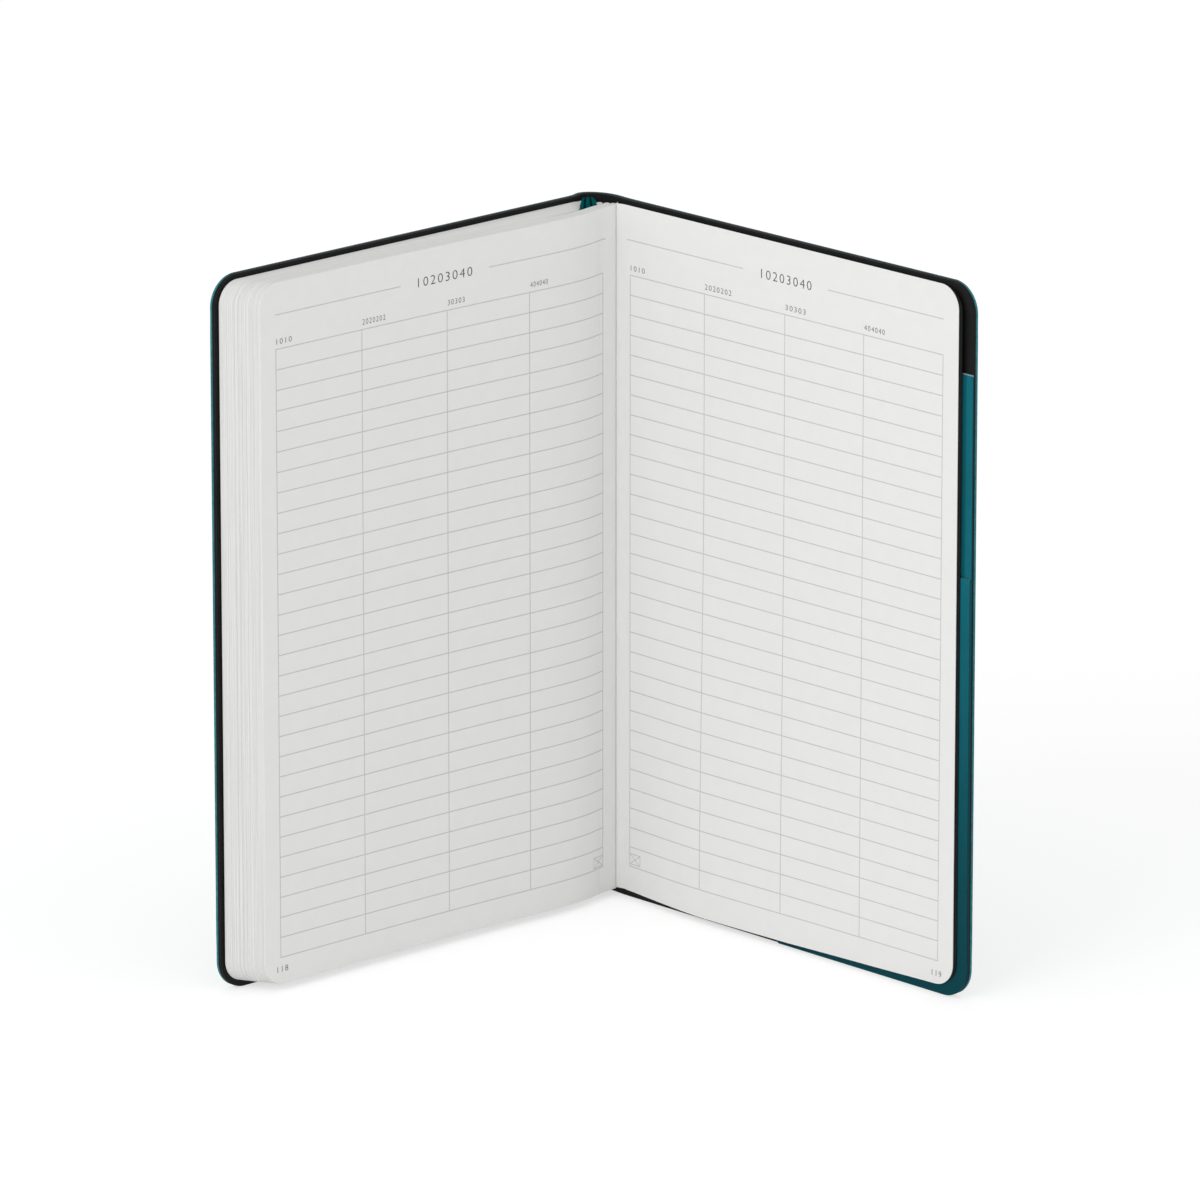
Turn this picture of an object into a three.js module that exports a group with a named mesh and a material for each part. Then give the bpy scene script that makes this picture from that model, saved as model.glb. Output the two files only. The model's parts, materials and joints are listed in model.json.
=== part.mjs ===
// Pocket-size sewn notebook with a flexible cover, standing open on its bottom edges.
// The last opening faces the reader: the sewn block lies on the front cover, the last leaf on the back one.
// +Z is up along the spine, +X to the reader's right, +Y away from the reader.

import * as THREE from 'three';

// Paper
const PAGE_WIDTH = 118;
const PAGE_HEIGHT = 177;
const PAGE_CORNER = 8;
const TAIL_SQUARE = 1.9;
const HEAD_SQUARE = 1.1;
const LEAF = 0.15;
const STACK_GAP = 0.1;

// Sewn block, measured where the leaves leave the fold
const SIGNATURES = 6;
const BLOCK_THICKNESS = 9.5;
const BLOCK_SWELL = 1.6;
const SWELL_REACH = 14;
const FORE_EDGE_PINCH = 0.5;
const SIGNATURE_GAP = 0.12;
const FOLD_LENGTH = 2.4;
const FOLD_GAP = 0.1;
const LAST_FOLD_GAP = 0.25;

// Cover layers, from the skin outside to the lining inside
const FORE_EDGE_SQUARE = 1.7;
const COVER_CORNER = 8;
const SKIN = 0.5;
const CORE = 0.8;
const LINING = 0.3;
const GLUE_LINE = 0.1;
const HINGE_CLEARANCE = 0.15;
const CLOSING_ROOM = 0.15;

// The cover rounds over the spine: how far each half runs on past its hinge before it bends
const FRONT_SHOULDER = 6;
const BACK_SHOULDER = 5;
const JOINT_WIDTH = 3.2;

// Spine filling, as depths in from the line between the hinges, with the hollow of the spine behind it
const FOLD_DEPTH = 0.25;
const FOLD_MARGIN = 0.4;
const RIBBON = 0.25;
const MULL = 0.3;
const THREAD = 0.4;
const SPINE_GAP = 0.12;
const FRONT_MARGIN = 1;
const THREAD_MARGIN = 1.2;
const MULL_MARGIN = 1.7;
const ROOT_MARGIN = 2.3;
const MULL_SQUARE = 4;
const SEWING_STATIONS = 5;
const STATION_INSET = 16;

// Ribbon marker
const RIBBON_WIDTH = 6.5;
const RIBBON_SIGNATURE = 4;
const RIBBON_GLUED = 50;
const RIBBON_END = 14;
const RIBBON_RISE = 0.25;

// Pocket inside the back cover
const POCKET_SEAM = 52;
const POCKET_EDGE_SQUARE = 0.9;
const POCKET_TAIL_SQUARE = 0.5;
const POCKET_BACK_HEIGHT = 157;
const POCKET_FRONT_HEIGHT = 106;
const POCKET_CHAMFER = 4;
const POCKET_CARD = 0.25;
const GUSSET = 0.15;
const GUSSET_WIDTH = 8;
const SEAM_WIDTH = 4;

// Pose in the photograph, seen from above, as plan angles in degrees from +X
const SPINE_ANGLE = -15.9;
const FRONT_ANGLE = 223.4;
const BACK_ANGLE = -45.6;

// Sampling of curves
const CORNER_STEPS = 6;
const SHEET_STEPS = 14;
const FOLD_STEPS = 8;
const ROUND_STEPS = 3;

// Derived stacks, measured from the face of each lining
const flyleafTop = STACK_GAP + LEAF;
const blockBottom = flyleafTop + STACK_GAP;
const topLeafBottom = blockBottom + BLOCK_THICKNESS + STACK_GAP;
const topLeafTop = topLeafBottom + LEAF;
const pocketBackTop = STACK_GAP + POCKET_CARD;
const gussetBottom = pocketBackTop + STACK_GAP;
const gussetTop = gussetBottom + GUSSET;
const pocketFrontBottom = gussetTop + STACK_GAP;
const pocketFrontTop = pocketFrontBottom + POCKET_CARD;
const rearFlyleafBottom = pocketFrontTop + STACK_GAP;
const rearFlyleafTop = rearFlyleafBottom + LEAF;
const lastLeafBottom = rearFlyleafTop + STACK_GAP;
const lastLeafTop = lastLeafBottom + LEAF;

// Derived cover and spine sizes
const coreFrom = LINING + GLUE_LINE;
const skinFrom = coreFrom + CORE + GLUE_LINE;
const coverThickness = skinFrom + SKIN;
const coverWidth = PAGE_WIDTH + FORE_EDGE_SQUARE;
const coverHeight = TAIL_SQUARE + PAGE_HEIGHT + HEAD_SQUARE;
const pageHead = TAIL_SQUARE + PAGE_HEIGHT;
const spineWidth = topLeafTop + lastLeafTop + CLOSING_ROOM;
const threadFrom = FOLD_DEPTH - SPINE_GAP - THREAD;
const mullFrom = threadFrom - GLUE_LINE - MULL;
const rootFrom = mullFrom - SPINE_GAP - RIBBON;

const radians = THREE.MathUtils.degToRad;

// A flat plane seen from above: s runs along it, n stands off it towards the pages.
function planFrame(origin, angle, side) {
  const cos = Math.cos(radians(angle));
  const sin = Math.sin(radians(angle));
  return (s, n) => {
    const off = n * side;
    return new THREE.Vector2(origin.x + s * cos - off * sin, origin.y + s * sin + off * cos);
  };
}

const spineMiddle = planFrame(new THREE.Vector2(0, 0), SPINE_ANGLE, -1);
const spineAt = planFrame(spineMiddle(-spineWidth / 2, 0), SPINE_ANGLE, -1);
const frontAt = planFrame(spineAt(0, 0), FRONT_ANGLE, 1);
const backAt = planFrame(spineAt(spineWidth, 0), BACK_ANGLE, -1);

// Inner face of the cover over the spine: it leaves each hinge in line with the cover there
const spineCurve = new THREE.CubicBezierCurve(
  frontAt(0, 0), frontAt(-FRONT_SHOULDER, 0), backAt(-BACK_SHOULDER, 0), backAt(0, 0));

// Closed body standing between two plan curves of equal length, from low to high at each step
function standingBody(near, far, low, high) {
  const positions = [];
  near.forEach((point, i) => {
    positions.push(point.x, point.y, low[i], point.x, point.y, high[i]);
    positions.push(far[i].x, far[i].y, high[i], far[i].x, far[i].y, low[i]);
  });
  const faces = [];
  const quad = (a, b, c, d) => faces.push(a, b, c, a, c, d);
  for (let i = 0; i < near.length - 1; i += 1) {
    for (let k = 0; k < 4; k += 1) {
      quad(4 * i + k, 4 * i + (k + 1) % 4, 4 * i + 4 + (k + 1) % 4, 4 * i + 4 + k);
    }
  }
  const last = 4 * (near.length - 1);
  quad(3, 2, 1, 0);
  quad(last, last + 1, last + 2, last + 3);
  const geometry = new THREE.BufferGeometry();
  geometry.setAttribute('position', new THREE.Float32BufferAttribute(positions, 3));
  geometry.setIndex(signedVolume(positions, faces) < 0 ? faces.reverse() : faces);
  geometry.computeVertexNormals();
  return geometry;
}

function signedVolume(positions, faces) {
  const corner = (index) => new THREE.Vector3().fromArray(positions, 3 * index);
  let volume = 0;
  for (let i = 0; i < faces.length; i += 3) {
    volume += corner(faces[i]).dot(corner(faces[i + 1]).cross(corner(faces[i + 2])));
  }
  return volume;
}

// Steps along a sheet, as distances back from its fore-edge and the rounding-off of its corners there;
// they lie closest together at the fold, where the block swells
function sheetSteps(length, corner) {
  const steps = [];
  for (let i = 0; i < SHEET_STEPS; i += 1) {
    steps.push({ back: length - (length - corner) * (i / SHEET_STEPS) ** 2, inset: 0 });
  }
  for (let i = 0; i <= CORNER_STEPS; i += 1) {
    const turn = Math.PI / 2 * i / CORNER_STEPS;
    steps.push({ back: corner * (1 - Math.sin(turn)), inset: corner * (1 - Math.cos(turn)) });
  }
  return steps;
}

// Flat layer of a cover, square at the hinge and round at the fore-edge corners
function coverLayer(at, from, thickness) {
  const steps = sheetSteps(coverWidth - HINGE_CLEARANCE, COVER_CORNER);
  const near = steps.map(({ back }) => at(coverWidth - back, -from));
  const far = steps.map(({ back }) => at(coverWidth - back, -from - thickness));
  const low = steps.map(({ inset }) => inset);
  return standingBody(near, far, low, low.map((inset) => coverHeight - inset));
}

// Layer of the cover over the spine, between two distances along its inner face
function spineLayer(start, end, from, thickness) {
  const near = [];
  const far = [];
  for (let i = 0; i <= SHEET_STEPS; i += 1) {
    const share = (start + (end - start) * i / SHEET_STEPS) / spineCurve.getLength();
    const inner = spineCurve.getPointAt(share);
    const tangent = spineCurve.getTangentAt(share);
    const outward = new THREE.Vector2(-tangent.y, tangent.x);
    near.push(inner.clone().addScaledVector(outward, from));
    far.push(inner.clone().addScaledVector(outward, from + thickness));
  }
  return standingBody(near, far, near.map(() => 0), near.map(() => coverHeight));
}

// Thickness of the sewn block along the cover: it swells just past the fold and is pinched at the fore-edge
function blockShare(s) {
  const past = (s - FOLD_LENGTH) / SWELL_REACH;
  const swell = BLOCK_SWELL * past * Math.exp(1 - past);
  const pinch = FORE_EDGE_PINCH * (s - FOLD_LENGTH) / PAGE_WIDTH;
  return 1 + (swell - pinch) / BLOCK_THICKNESS;
}

// Height over the front lining of a level in the stack, at a distance s from the hinge
function stackLevel(level, s) {
  return blockBottom + (level - blockBottom) * blockShare(s);
}

// One fold line: square off the spine, then over to the cover's direction, where the flat leaf starts
function foldCurve(level) {
  const along = FOLD_MARGIN + level - blockBottom;
  const depth = FOLD_DEPTH + signatureWidth() / 2;
  const start = spineAt(along, depth);
  const end = frontAt(FOLD_LENGTH - FOLD_GAP, level);
  const reach = start.distanceTo(end) / 3;
  const leave = spineAt(along, depth + reach);
  const arrive = frontAt(FOLD_LENGTH - FOLD_GAP - reach, level);
  return new THREE.CubicBezierCurve(start, leave, arrive, end);
}

// Thickness of one signature, with a wider gap left where the ribbon lies
function signatureWidth() {
  const gaps = (SIGNATURES - 2) * SIGNATURE_GAP + ribbonGap();
  return (BLOCK_THICKNESS - gaps) / SIGNATURES;
}

function ribbonGap() {
  return RIBBON + 2 * SIGNATURE_GAP;
}

// Bottom and top of a signature in the stack, counted from 1 at the front cover
function signatureLevels(number) {
  const past = number > RIBBON_SIGNATURE ? ribbonGap() - SIGNATURE_GAP : 0;
  const bottom = blockBottom + (number - 1) * (signatureWidth() + SIGNATURE_GAP) + past;
  return [bottom, bottom + signatureWidth()];
}

// Back of a signature: rounded folds against the sewing, then the leaves bending to the cover's direction
function foldBody(bottom, top) {
  const low = foldCurve(bottom);
  const high = foldCurve(top);
  const middle = low.v0.clone().add(high.v0).multiplyScalar(0.5);
  const radius = low.v0.distanceTo(high.v0) / 2;
  const outward = spineAt(0, -1).sub(spineAt(0, 0));
  const across = high.v0.clone().sub(low.v0).normalize();
  const near = [];
  const far = [];
  for (let i = ROUND_STEPS; i > 0; i -= 1) {
    const turn = Math.PI / 2 * i / (ROUND_STEPS + 1);
    const rim = middle.clone().addScaledVector(outward, signatureWidth() / 2 * Math.sin(turn));
    near.push(rim.clone().addScaledVector(across, -radius * Math.cos(turn)));
    far.push(rim.clone().addScaledVector(across, radius * Math.cos(turn)));
  }
  near.push(...low.getPoints(FOLD_STEPS));
  far.push(...high.getPoints(FOLD_STEPS));
  return standingBody(near, far, near.map(() => TAIL_SQUARE), near.map(() => pageHead));
}

// Flat part of a slice of the stack on the front cover; every leaf is one page wide from its own fold
function blockSlice(bottom, top) {
  const reachOf = (level) => PAGE_WIDTH - foldCurve(level).getLength();
  const steps = sheetSteps(reachOf(bottom), PAGE_CORNER);
  const side = (level) => steps.map(({ back }) => {
    const s = FOLD_LENGTH + reachOf(level) * (1 - back / reachOf(bottom));
    return frontAt(s, stackLevel(level, s));
  });
  const low = steps.map(({ inset }) => TAIL_SQUARE + inset);
  const high = steps.map(({ inset }) => pageHead - inset);
  return standingBody(side(bottom), side(top), low, high);
}

// Fold line of the last leaf, from beside the top leaf's fold to the back cover's direction
function lastFoldCurve(level) {
  const along = FOLD_MARGIN + topLeafTop - blockBottom + LAST_FOLD_GAP + lastLeafTop - level;
  const start = spineAt(along, FOLD_DEPTH);
  const end = backAt(FOLD_LENGTH - FOLD_GAP, level);
  const reach = start.distanceTo(end) / 3;
  const arrive = backAt(FOLD_LENGTH - FOLD_GAP - reach, level);
  return new THREE.CubicBezierCurve(start, spineAt(along, FOLD_DEPTH + reach), arrive, end);
}

function lastFoldBody() {
  const near = lastFoldCurve(lastLeafBottom).getPoints(FOLD_STEPS);
  const far = lastFoldCurve(lastLeafTop).getPoints(FOLD_STEPS);
  return standingBody(near, far, near.map(() => TAIL_SQUARE), near.map(() => pageHead));
}

// Leaf lying flat along the back cover, out to the given reach from the hinge
function backLeaf(bottom, top, reach) {
  const steps = sheetSteps(reach - FOLD_LENGTH, PAGE_CORNER);
  const side = (level) => steps.map(({ back }) => backAt(reach - back, level));
  const low = steps.map(({ inset }) => TAIL_SQUARE + inset);
  const high = steps.map(({ inset }) => pageHead - inset);
  return standingBody(side(bottom), side(top), low, high);
}

// Narrow strip that carries the rear flyleaf from the lining up to its own level
function rearFlyleafJoint() {
  const near = [backAt(STACK_GAP, STACK_GAP), backAt(FOLD_LENGTH - FOLD_GAP, rearFlyleafBottom)];
  const far = [backAt(STACK_GAP, STACK_GAP + LEAF), backAt(FOLD_LENGTH - FOLD_GAP, rearFlyleafTop)];
  return standingBody(near, far, near.map(() => TAIL_SQUARE), near.map(() => pageHead));
}

// Strip along the spine between two depths, for the mull, a thread link or the glued ribbon
function spineStrip(from, to, depth, thickness, low, high) {
  const near = [spineAt(from, depth), spineAt(to, depth)];
  const far = [spineAt(from, depth + thickness), spineAt(to, depth + thickness)];
  return standingBody(near, far, [low, low], [high, high]);
}

function threadLink(number) {
  const run = PAGE_HEIGHT - 2 * STATION_INSET;
  const low = TAIL_SQUARE + STATION_INSET + run * (number - 1) / (SEWING_STATIONS - 1);
  return spineStrip(FRONT_MARGIN, spineWidth - THREAD_MARGIN, threadFrom, THREAD, low, low + THREAD);
}

// Ribbon: glued in the hollow of the spine, over the head of the folds, and down between two signatures
const ribbonLevel = signatureLevels(RIBBON_SIGNATURE)[1] + SIGNATURE_GAP;
const ribbonHead = pageHead + RIBBON_RISE;

function ribbonRoot() {
  const to = spineWidth - ROOT_MARGIN;
  return spineStrip(to - RIBBON_WIDTH, to, rootFrom, RIBBON, pageHead - RIBBON_GLUED, ribbonHead - SPINE_GAP);
}

function ribbonArch() {
  const to = spineWidth - ROOT_MARGIN;
  const near = [spineAt(to - RIBBON_WIDTH, rootFrom), frontAt(FOLD_LENGTH - FOLD_GAP, ribbonLevel - RIBBON)];
  const far = [spineAt(to, rootFrom), frontAt(FOLD_LENGTH - FOLD_GAP, ribbonLevel + 2 * RIBBON)];
  return standingBody(near, far, [ribbonHead, ribbonHead], [ribbonHead + RIBBON, ribbonHead + RIBBON]);
}

function ribbonTail() {
  const from = FOLD_LENGTH + FOLD_GAP;
  const edges = [from, from + RIBBON_WIDTH / 2, from + RIBBON_WIDTH];
  const near = edges.map((s) => frontAt(s, stackLevel(ribbonLevel, s)));
  const far = edges.map((s) => frontAt(s, stackLevel(ribbonLevel + RIBBON, s)));
  return standingBody(near, far, edges.map(() => RIBBON_END), edges.map(() => ribbonHead + RIBBON));
}

// Pocket layer on the back cover: it follows the cover's lower corner and is cut slanting at its inner end
function pocketLayer(from, bottom, top, height) {
  const reach = coverWidth - POCKET_EDGE_SQUARE;
  const steps = sheetSteps(reach - from - POCKET_CHAMFER, COVER_CORNER);
  const near = [backAt(from, bottom)];
  const far = [backAt(from, top)];
  steps.forEach(({ back }) => {
    near.push(backAt(reach - back, bottom));
    far.push(backAt(reach - back, top));
  });
  const low = [POCKET_TAIL_SQUARE + POCKET_CHAMFER, ...steps.map(({ inset }) => POCKET_TAIL_SQUARE + inset)];
  return standingBody(near, far, low, low.map(() => height));
}

function sideGusset() {
  const reach = coverWidth - POCKET_EDGE_SQUARE;
  const steps = sheetSteps(GUSSET_WIDTH, COVER_CORNER).slice(SHEET_STEPS);
  const side = (level) => steps.map(({ back }) => backAt(reach - back, level));
  const low = steps.map(({ inset }) => POCKET_TAIL_SQUARE + inset);
  return standingBody(side(gussetBottom), side(gussetTop), low, low.map(() => POCKET_BACK_HEIGHT));
}

function pocketStrip(from, to, low, high) {
  const near = [backAt(from, gussetBottom), backAt(to, gussetBottom)];
  const far = [backAt(from, gussetTop), backAt(to, gussetTop)];
  return standingBody(near, far, [low, low], [high, high]);
}

// Materials
const leather = { color: 0x17616b, roughness: 0.62, metalness: 0 };
const black = { color: 0x16171a, roughness: 0.8, metalness: 0 };
const paper = { color: 0xeceae4, roughness: 0.9, metalness: 0 };
const teal = { color: 0x1b5f6a, roughness: 0.75, metalness: 0 };
const ribbonCloth = { color: 0x0f6a70, roughness: 0.55, metalness: 0 };
const cloth = { color: 0xd9d4c4, roughness: 0.95, metalness: 0 };

const book = new THREE.Group();

function add(name, geometry, finish) {
  const mesh = new THREE.Mesh(geometry, new THREE.MeshStandardMaterial(finish));
  mesh.name = name;
  book.add(mesh);
}

function numbered(count, make) {
  for (let number = 1; number <= count; number += 1) {
    make(number);
  }
}

function addSpine() {
  const length = spineCurve.getLength();
  const from = JOINT_WIDTH + HINGE_CLEARANCE;
  const jointThickness = coverThickness - coreFrom;
  add('spine_skin', spineLayer(from, length - from, skinFrom, SKIN), leather);
  add('spine_inlay', spineLayer(from, length - from, coreFrom, CORE), black);
  add('spine_lining', spineLayer(LINING, length - LINING, 0, LINING), black);
  add('front_joint', spineLayer(0, JOINT_WIDTH, coreFrom, jointThickness), leather);
  add('back_joint', spineLayer(length - JOINT_WIDTH, length, coreFrom, jointThickness), leather);
}

function addCover(side, at) {
  add(`${side}_skin`, coverLayer(at, skinFrom, SKIN), leather);
  add(`${side}_board`, coverLayer(at, coreFrom, CORE), black);
  add(`${side}_lining`, coverLayer(at, 0, LINING), black);
}

function addSewing() {
  const to = spineWidth - MULL_MARGIN;
  const low = TAIL_SQUARE + MULL_SQUARE;
  add('mull', spineStrip(FRONT_MARGIN, to, mullFrom, MULL, low, pageHead - MULL_SQUARE), cloth);
  numbered(SEWING_STATIONS, (number) => add(`sewing_link_${number}`, threadLink(number), cloth));
  numbered(SIGNATURES, (number) => add(`signature_fold_${number}`, foldBody(...foldLevels(number)), paper));
  add('last_leaf_fold', lastFoldBody(), paper);
}

// The top leaf's fold belongs to the last signature, so that fold reaches up to the top leaf's face
function foldLevels(number) {
  const [bottom, top] = signatureLevels(number);
  return number === SIGNATURES ? [bottom, topLeafTop] : [bottom, top];
}

function addBlock() {
  add('front_flyleaf', blockSlice(STACK_GAP, flyleafTop), black);
  numbered(SIGNATURES, (number) => add(`signature_${number}`, blockSlice(...signatureLevels(number)), paper));
  add('top_leaf', blockSlice(topLeafBottom, topLeafTop), paper);
}

function addRibbon() {
  add('ribbon_root', ribbonRoot(), ribbonCloth);
  add('ribbon_arch', ribbonArch(), ribbonCloth);
  add('ribbon_tail', ribbonTail(), ribbonCloth);
}

function addBackLeaves() {
  const reach = FOLD_LENGTH + PAGE_WIDTH - lastFoldCurve(lastLeafTop).getLength();
  add('rear_flyleaf_joint', rearFlyleafJoint(), black);
  add('rear_flyleaf', backLeaf(rearFlyleafBottom, rearFlyleafTop, reach + LEAF), black);
  add('last_leaf', backLeaf(lastLeafBottom, lastLeafTop, reach), paper);
}

function addPocket() {
  const reach = coverWidth - POCKET_EDGE_SQUARE;
  const seamTo = POCKET_SEAM + SEAM_WIDTH;
  const seamLow = POCKET_TAIL_SQUARE + POCKET_CHAMFER;
  const foldLow = POCKET_TAIL_SQUARE + STACK_GAP;
  const back = pocketLayer(POCKET_SEAM, STACK_GAP, pocketBackTop, POCKET_BACK_HEIGHT);
  const front = pocketLayer(POCKET_SEAM, pocketFrontBottom, pocketFrontTop, POCKET_FRONT_HEIGHT);
  add('pocket_back', back, teal);
  add('pocket_seam', pocketStrip(POCKET_SEAM, seamTo, seamLow, POCKET_FRONT_HEIGHT), teal);
  add('pocket_bottom_gusset', pocketStrip(seamTo + STACK_GAP, reach - GUSSET_WIDTH - STACK_GAP,
    foldLow, foldLow + GUSSET_WIDTH), teal);
  add('pocket_side_gusset', sideGusset(), teal);
  add('pocket_front', front, teal);
}

addSpine();
addCover('front', frontAt);
addCover('back', backAt);
addSewing();
addBlock();
addRibbon();
addBackLeaves();
addPocket();

// The origin is the middle of the footprint, on the surface that the notebook stands on
const middle = new THREE.Box3().setFromObject(book).getCenter(new THREE.Vector3());
book.position.set(-middle.x, -middle.y, 0);

export default book;
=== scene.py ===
# Looks of a sewn notebook that stands open on its bottom edges.
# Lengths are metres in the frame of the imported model; plan angles are degrees from +X, seen from above.

import functools
import json
import math
import random

import bmesh
import bpy
import numpy as np
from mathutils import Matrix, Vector


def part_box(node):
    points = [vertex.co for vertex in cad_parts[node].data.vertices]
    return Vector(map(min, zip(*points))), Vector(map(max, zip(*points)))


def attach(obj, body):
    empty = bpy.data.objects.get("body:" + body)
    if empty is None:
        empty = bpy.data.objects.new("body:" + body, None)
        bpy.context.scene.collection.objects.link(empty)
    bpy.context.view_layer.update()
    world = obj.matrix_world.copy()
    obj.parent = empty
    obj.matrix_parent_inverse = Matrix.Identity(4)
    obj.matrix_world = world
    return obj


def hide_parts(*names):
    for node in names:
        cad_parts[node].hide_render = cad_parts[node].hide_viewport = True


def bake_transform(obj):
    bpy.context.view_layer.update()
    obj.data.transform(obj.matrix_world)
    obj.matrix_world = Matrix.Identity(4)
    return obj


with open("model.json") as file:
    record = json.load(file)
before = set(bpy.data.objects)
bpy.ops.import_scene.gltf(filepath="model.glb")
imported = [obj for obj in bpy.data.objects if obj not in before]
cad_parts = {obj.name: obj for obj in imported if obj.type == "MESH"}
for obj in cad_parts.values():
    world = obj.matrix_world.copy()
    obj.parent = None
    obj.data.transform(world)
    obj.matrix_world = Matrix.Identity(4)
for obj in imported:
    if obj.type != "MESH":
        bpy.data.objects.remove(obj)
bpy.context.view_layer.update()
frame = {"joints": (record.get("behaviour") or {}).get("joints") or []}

MM = 0.001

# Camera: lens and sensor in millimetres, angles in degrees
LENS = 332.2
SENSOR = 36.0
CAMERA_PLACE = (0.00741, -2.614, 0.84395)
CAMERA_PITCH = 16.122
CAMERA_YAW = 0.131

# Light
SKY_TOP = 0.63
SKY_LOW = 1.08
SKY_FROM = 0.1
SKY_TO = 0.95
FLOOR_SIZE = 8.0
FLOOR_TONE = 0.97
FLOOR_SEEN = 0.46
FLOOR_LIFT = 0.62
KEY_PLACE = (-1.3, -1.7, 1.5)
KEY_TARGET = (0, 0, 0.08)
KEY_SIZE = 1.3
KEY_POWER = 14
WHITE = (1, 1, 1, 1)

# Paper
PAGE_WIDTH = 118 * MM
PAGE_CORNER = 5.8 * MM
LEAF = 0.15 * MM
STACK_GAP = 0.1 * MM
FINE_GAP = 0.02 * MM

# Sewn block
SIGNATURES = 6
SHEETS = 8
BLOCK_THICKNESS = 9.5 * MM
BLOCK_SWELL = 1.6 * MM
SWELL_REACH = 14 * MM
FORE_EDGE_PINCH = 0.5 * MM
SIGNATURE_GAP = 0.12 * MM
FOLD_LENGTH = 2.4 * MM
FOLD_GAP = 0.1 * MM
FOLD_STEPS = 16
LEAF_SHARE = 0.97
TRIM_JITTER = 0.07 * MM
SIGNATURE_JITTER = 0.03 * MM
CLOSING_FROM = 9 * MM
CLOSING_REACH = 14 * MM
HEAD_JITTER = 0.04 * MM
TURN_REACH = 9 * MM

# Cover
COVER_WIDTH = 119.7 * MM
COVER_CORNER = 7.5 * MM
SKIN = 0.5 * MM
CORE = 0.8 * MM
LINING = 0.3 * MM
GLUE_LINE = 0.1 * MM
BEND_RUN = 4 * MM
BEND_BEFORE = 2.6 * MM
BEND_AFTER = 1.3 * MM
SPINE_STEPS = 36
SPINE_CUTS = 5
HALF_STEP = 0.2 * MM
FRONT_RIDGE = np.array((-2.6, 45.8)) * MM
BACK_RIDGE = np.array((3.2, 44.3)) * MM
SKIN_ROUND = 0.14 * MM
BOARD_ROUND = 0.04 * MM
LINING_ROUND = 0.05 * MM
SKIN_WRAP = 0.25 * MM
RUBBED = 1.2 * MM

# Spine filling
SPINE_GAP = 0.12 * MM
FOLD_MARGIN = 0.4 * MM
FOLD_DEPTH = 0.25 * MM
MULL = 0.3 * MM
MULL_WAVE = -0.06 * MM
THREAD = 0.4 * MM
THREAD_WAVE = -0.05 * MM
THREAD_TWIST = 1.1 * MM
PLY_SIDES = 8
FRONT_MARGIN = 1 * MM
THREAD_MARGIN = 1.2 * MM
MULL_MARGIN = 1.7 * MM
ROOT_MARGIN = 2.3 * MM
MULL_SQUARE = 4 * MM
SEWING_STATIONS = 5
STATION_INSET = 16 * MM

# Ribbon marker
RIBBON = 0.25 * MM
RIBBON_WIDTH = 6.5 * MM
RIBBON_SIGNATURE = 4
RIBBON_GLUED = 50 * MM
RIBBON_END = 14 * MM
RIBBON_INSET = 2.5 * MM
RIBBON_NECK = 2.3 * MM
RIBBON_NECK_PLACE = 1.0 * MM
RIBBON_NECK_DEPTH = -1.05 * MM
RIBBON_GATHER = 12 * MM
RIBBON_TUCK = 0.28 * MM
RIBBON_ARCH = 0.95 * MM
RIBBON_ARCH_FALL = 0.35
RIBBON_ARCH_RUN = 7 * MM
RIBBON_CLEAR = 0.1 * MM
RIBBON_CREST = 0.42
RIBBON_SIDE_STEPS = 60
RIBBON_PLEAT = 0.3 * MM
RIBBON_PLEATS = 2.5

# Pocket
POCKET_SEAM = 52 * MM
POCKET_EDGE_SQUARE = -0.6 * MM
POCKET_TAIL_SQUARE = 0.2 * MM
POCKET_BACK_HEIGHT = 158 * MM
POCKET_FRONT_HEIGHT = 107 * MM
POCKET_CHAMFER = 4 * MM
POCKET_CARD = 0.25 * MM
POCKET_MOUTH_DIP = 1.5 * MM
POCKET_HEM = 0.35 * MM
LIP_BELOW_MOUTH = 5 * MM
GUSSET = 0.15 * MM
GUSSET_SHARE = 0.48
GUSSET_WIDTH = 8 * MM
GUSSET_DROP = 0.4 * MM
MOUTH_DROP = 0.3 * MM
SEAM_WIDTH = 4 * MM
SEAM_DROP = 0.5 * MM

# Last leaf and rear flyleaf: the sag at the foot, and how they stand past the cut of the block
SAG = 1.3 * MM
SAG_PLACE = 32 * MM
SAG_HEIGHT = 120 * MM
LAST_HEAD = 0.3 * MM
FOOT_PLACES = (0, 10, 30, 60, 90, 116)
FOOT_LIFTS = (0.35, -0.05, -0.5, -0.4, 0.2, 0.9)
FLYLEAF_SQUARE = 0.95 * MM
FLYLEAF_LIFT = 0.5 * MM
LAST_TURN = 1.3 * MM
LAST_TURN_HANDLE = 0.35 * MM

# Plan angles of the pose at rest
SPINE_ANGLE = -15.9
FRONT_ANGLE = 223.4
BACK_ANGLE = -45.6

# Printed table on the open pages
ROWS = 30
LINE = 0.16 * MM
LINE_SOFT = 0.14 * MM
HEADING_OVERHANG = 1 * MM
ENVELOPE_HALVES = (1.9 * MM, 1.35 * MM)
DOT_PITCH = 5 * MM
LETTER_SPACE = 1.25
LETTER_THIN = -0.009

# Places in the table, in millimetres: distances from the sewing and heights over the floor
LEFT_TABLE = dict(columns=(5.3, 31.4, 57.9, 85.5, 113.2), first=162.3, pitch=5.12, rule=170.9,
                  gap=(44.5, 72.8), envelope=(7.2, 10.45))
RIGHT_TABLE = dict(columns=(5.6, 31.6, 59.4, 86.3, 113.0), first=161.6, pitch=5.1, rule=170.5,
                   gap=(45.0, 74.0), envelope=(7.5, 10.6))

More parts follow.
